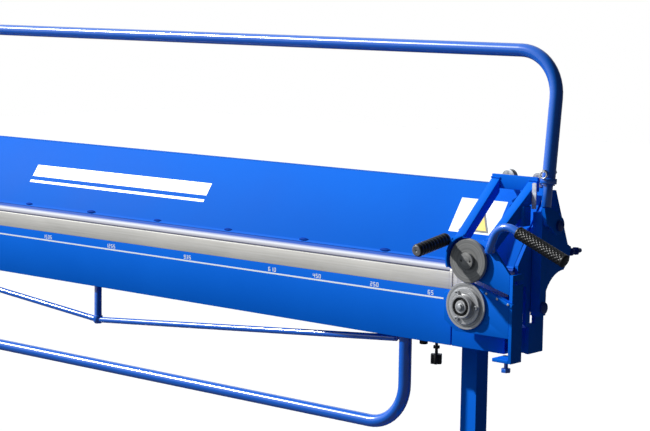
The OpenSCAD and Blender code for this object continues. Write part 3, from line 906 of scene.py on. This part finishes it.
lowerOrigin = Vector((lowerAxis.x, low("lower_blade").y, lowerAxis.z))
lowerDisc = [(-0.0040, 0.0586), (-0.0034, 0.0592), (-0.0004, 0.0592), (0, 0.0588), (0, 0.0005)]
addPiece("lowerDisc", *turnedShape(lowerDisc, lowerOrigin, towardsFront, 128), bladeSteel,
         "lower_cutter", slotOf("lower_blade"), 25, ("lower_blade",))

flange = [(0, 0.0452), (0.0008, 0.0460), (0.0052, 0.0460), (0.0060, 0.0452), (0.0060, 0.0300),
          (0.0068, 0.0290), (0.0195, 0.0290), (0.0203, 0.0282), (0.0203, 0.0246), (0.0197, 0.0240),
          (0.0150, 0.0240), (0.0150, 0.0160), (0.0197, 0.0160), (0.0203, 0.0154), (0.0203, 0.0090),
          (0.0198, 0.0085), (0.0198, 0.0005)]
addPiece("lowerFlange", *turnedShape(flange, lowerOrigin, towardsFront, 96), bladeSteel,
         "lower_cutter", slotOf("lower_flange"), 25, ("lower_flange",))
seal = [(0.0150, 0.0162), (0.0168, 0.0168), (0.0172, 0.0180), (0.0172, 0.0222), (0.0168, 0.0234),
        (0.0150, 0.0238)]
addPiece("dustSeal", *ringShape(seal, lowerOrigin, towardsFront, 64), gripRubber,
         "lower_cutter", slotOf("lower_flange"), 40)

screws = {"circle": 0.038, "turns": (0, 120, 240), "head": 0.0058, "tall": 0.0060, "pit": 0.0030,
          "seat": 0.0058}
screwHead = [(0, screws["head"]), (screws["tall"] - 0.0007, screws["head"]),
             (screws["tall"], screws["head"] - 0.0007), (screws["tall"], screws["pit"] + 0.0004, 6),
             (screws["tall"] - 0.0004, screws["pit"], 6), (screws["tall"] - 0.0030, screws["pit"], 6),
             (screws["tall"] - 0.0030, 0.0003)]
flangeFace = lowerOrigin + towardsFront * screws["seat"]
screwPlaces = [flangeFace + Vector((cos(radians(turn)), 0, sin(radians(turn)))) * screws["circle"]
               for turn in screws["turns"]]
placedPiece("flangeScrews", turnedShape(screwHead, (0, 0, 0), towardsFront, 24), screwPlaces, zincPlate,
            "lower_cutter", slotOf("flange_screws"), 25, ("flange_screws",))
print("discs turned")


# grips

knurled = {
    "start": Vector((1.5810, -0.0600, foldHeight + 0.1299)),
    "lean": 22.6, "long": 0.150, "radius": 0.0165, "starts": 5, "depth": 0.0016,
    "rows": 150, "steps": 96, "collar": 0.005, "fade": 0.004, "crispness": 0.6,
    "round": 0.004, "roundDepth": 0.8,
}
knurled["along"] = Vector((cos(radians(knurled["lean"])), 0, -sin(radians(knurled["lean"]))))


def knurlRadius(distance, angle):
    wave = distance * knurled["starts"] / knurled["radius"]
    ridges = [abs(sin(knurled["starts"] * angle + side * wave)) for side in (-1, 1)]
    fromEnd = min(distance, knurled["long"] - distance)
    fade = min(1, max(0, (fromEnd - knurled["collar"]) / knurled["fade"]))
    groove = (1 - min(ridges) ** knurled["crispness"]) * knurled["depth"] * fade
    short = max(0, 1 - fromEnd / knurled["round"])
    rounded = knurled["round"] * (1 - sqrt(1 - short * short)) * knurled["roundDepth"]
    return knurled["radius"] - groove - rounded


knurlProfile = [knurled["long"] * i / knurled["rows"] for i in range(knurled["rows"] + 1)]
addPiece("knurledGrip", *carvedShape(knurlProfile, knurlRadius, knurled["start"], knurled["along"],
                                     knurled["steps"]),
         gripRubber, "trolley", slotOf("knurled_grip"), 50, ("knurled_grip",))

ribbed = {
    "start": Vector((1.360, -0.046, foldHeight + 0.092)),
    "end": Vector((1.360, -0.171, foldHeight + 0.073)),
    "ribs": 10, "crest": 0.0165, "valley": 0.0140, "first": 0.0060, "samples": 10,
    "bore": 0.0082, "crispness": 0.55,
}
gripAlong = ribbed["end"] - ribbed["start"]
gripLong = gripAlong.length
ribProfile = [(ribbed["first"], ribbed["bore"])]
ribCount = ribbed["ribs"] * ribbed["samples"]
for i in range(ribCount + 1):
    crest = abs(sin(pi * i / ribbed["samples"])) ** ribbed["crispness"]
    distance = ribbed["first"] + (gripLong - ribbed["first"]) * i / ribCount
    ribProfile.append((distance, ribbed["valley"] + (ribbed["crest"] - ribbed["valley"]) * crest))
ribProfile.append((gripLong, ribbed["bore"]))
addPiece("ribbedGrip", *turnedShape(ribProfile, ribbed["start"], gripAlong, 64), gripRubber, "trolley",
         slotOf("side_grip"), 50, ("side_grip",))
gripEnd = [(gripLong - 0.0010, 0.0128), (gripLong + 0.0018, 0.0132), (gripLong + 0.0025, 0.0125),
           (gripLong + 0.0025, 0.0030), (gripLong + 0.0014, 0.0016), (gripLong + 0.0012, 0.0003)]
gripRoot = [(0.0004, 0.0080), (0.0062, 0.0080)]
gripBar = joined([turnedShape(gripEnd, ribbed["start"], gripAlong, 48),
                  turnedShape(gripRoot, ribbed["start"], gripAlong, 48)])
addPiece("gripBar", *gripBar, dullSteel, "trolley", slotOf("side_grip_bar"), 30, ("side_grip_bar",))
print("grips made")


# weld beads

weld = {
    "half": 0.0034, "radius": 0.0026,       # one bead
    "pitch": 0.0042,                        # along a straight seam
    "strutRadius": 0.0125, "strutBeads": 14,
    "socketRadius": 0.0178, "socketBeads": 20, "socketInset": 0.017,
}
bead = turnedShape(bulge(weld["half"], weld["radius"], 6), (0, 0, 0), across, 10)


def beadRing(centre, radius, count):
    return [Vector(centre) + Vector((cos(2 * pi * i / count), sin(2 * pi * i / count), 0)) * radius
            for i in range(count)]


def beadLine(start, end):
    count = max(2, round((end - start).length / weld["pitch"]))
    return [start.lerp(end, i / count) for i in range(count + 1)]


apronFoot = low("apron_plate").z
socketMiddle = middle("bail_sockets")
socketX = high("bail_sockets").x - weld["socketInset"]
apronWelds = beadRing((0, middle("truss_strut").y, apronFoot), weld["strutRadius"],
                      weld["strutBeads"])
for side in (-1, 1):
    apronWelds += beadRing((side * socketX, socketMiddle.y, apronFoot), weld["socketRadius"],
                           weld["socketBeads"])
placedPiece("apronWelds", bead, apronWelds, bluePaint, "apron", "blue_paint")

armSeams = {
    # (y, height over the folding line, where the two arms stand beside the upper disc's axis)
    "ends": [(-0.038, 0.097, (-0.044, 0.048)), (0.0995, 0.239, (-0.032, 0.082))],
    "half": 0.012,
}
trolleyWelds = []
for y, height, armPlaces in armSeams["ends"]:
    for x in armPlaces:
        left = Vector((upperAxis.x + x - armSeams["half"], y, foldHeight + height))
        trolleyWelds += beadLine(left, left + across * 2 * armSeams["half"])
placedPiece("trolleyWelds", bead, trolleyWelds, bluePaint, "trolley", "blue_paint")
print("welds laid")


# zinc strip beside the outer arm

strip = {"left": 1.5235, "right": 1.5355, "foot": foldHeight + 0.171, "top": foldHeight + 0.236,
         "front": 0.080, "thick": 0.003, "corner": 0.002}


def stripOutline(left, foot, right, top, cut):
    # upright bar with its top corners cut off
    return [(left, foot), (right, foot), (right, top - cut), (right - cut, top), (left + cut, top),
            (left, top - cut)]


stripCorners = stripOutline(strip["left"], strip["foot"], strip["right"], strip["top"],
                            strip["corner"])
stripBack = Vector((0, strip["front"] + strip["thick"], 0))
stripShape = flatShape(stripCorners, stripBack, across, upwards, 0, strip["thick"])
# the strip gets the lighter copy of the zinc: painted light
addPiece("zincStrip", *stripShape, paintedLightZinc, "trolley", "zinc", 0)


# caps in the open ends of the feet

cap = {"x": 1.330, "y": 0.320, "half": 0.0235, "foot": 0.0090, "top": 0.0485, "thick": 0.004,
       "slope": 0.002}


def capShape(x, side):
    # a plate whose outer face is a little smaller than its inner one
    outline = oblong(-cap["half"], cap["foot"], cap["half"], cap["top"])
    sideways = across * -side
    origin = Vector((x, side * cap["y"], 0))
    points, faces = flatShape(outline, origin, sideways, upwards, 0, cap["thick"])
    outwards = sideways.cross(upwards)
    centre = origin + outwards * cap["thick"] + upwards * (cap["foot"] + cap["top"]) / 2
    shrink = 1 - cap["slope"] / cap["half"]
    points[4:] = [centre + (point - centre) * shrink for point in points[4:]]
    return points, faces


caps = joined([capShape(x, side) for x in (-cap["x"], cap["x"]) for side in (-1, 1)])
addPiece("footCaps", *caps, knobPlastic, "frame", "black_plastic", 0)
print("feet capped")


# floor

half = studio["floorHalf"]
floorPoints = [(-half, -half, 0), (half, -half, 0), (half, half, 0), (-half, half, 0)]
floor = bareObject("floor", floorPoints, [(0, 1, 2, 3)])
floor.data.materials.append(floorFilm)
